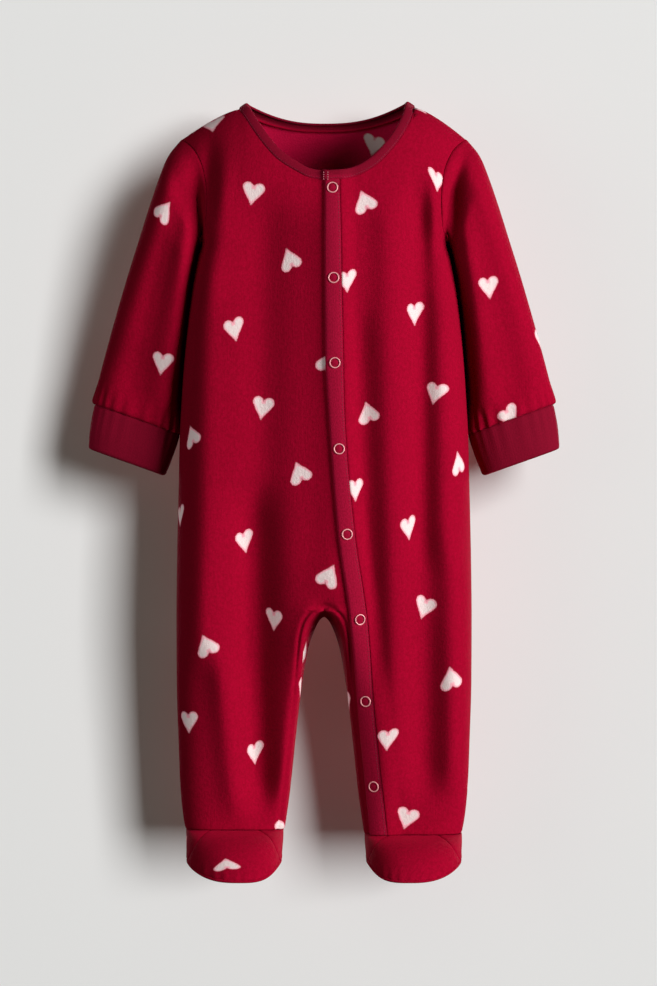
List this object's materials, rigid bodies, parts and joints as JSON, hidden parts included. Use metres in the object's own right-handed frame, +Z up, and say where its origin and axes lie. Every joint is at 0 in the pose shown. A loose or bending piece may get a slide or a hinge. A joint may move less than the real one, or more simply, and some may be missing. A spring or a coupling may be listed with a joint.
{
  "type": "baby's footed sleepsuit",
  "caption": "Long-sleeved one-piece baby suit in heart-printed fleece with attached feet, open neck and cuffs, and a snap placket from the neck to one ankle.",
  "frame": {"origin": "in the middle of the neck opening, level with the tops of the shoulders, on the plane of the side seams", "axes": "+Z up along the body, +X towards the wearer's left, -Y the way the wearer faces"},
  "size_m": [0.3894, 0.1466, 0.6388],
  "materials": {
    "red_fleece": "brushed, printed with pale hearts",
    "red_jersey": "plain matt knit",
    "pink_ring_metal": "satin",
    "socket_metal": "satin"
  },
  "bodies": {
    "root": {"front_right": "red_fleece", "front_left": "red_fleece", "back": "red_fleece", "placket": "red_jersey", "neck_binding": "red_jersey", "sleeve_right": "red_fleece", "sleeve_left": "red_fleece", "cuff_right": "red_jersey", "cuff_left": "red_jersey", "vamp_right": "red_fleece", "vamp_left": "red_fleece", "heel_right": "red_fleece", "heel_left": "red_fleece", "sole_right": "red_fleece", "sole_left": "red_fleece", "snap_ring_1": "pink_ring_metal", "snap_ring_2": "pink_ring_metal", "snap_ring_3": "pink_ring_metal", "snap_ring_4": "pink_ring_metal", "snap_ring_5": "pink_ring_metal", "snap_ring_6": "pink_ring_metal", "snap_ring_7": "pink_ring_metal", "snap_ring_8": "pink_ring_metal", "snap_socket_1": "socket_metal", "snap_socket_2": "socket_metal", "snap_socket_3": "socket_metal", "snap_socket_4": "socket_metal", "snap_socket_5": "socket_metal", "snap_socket_6": "socket_metal", "snap_socket_7": "socket_metal", "snap_socket_8": "socket_metal"}
  },
  "joints": []
}
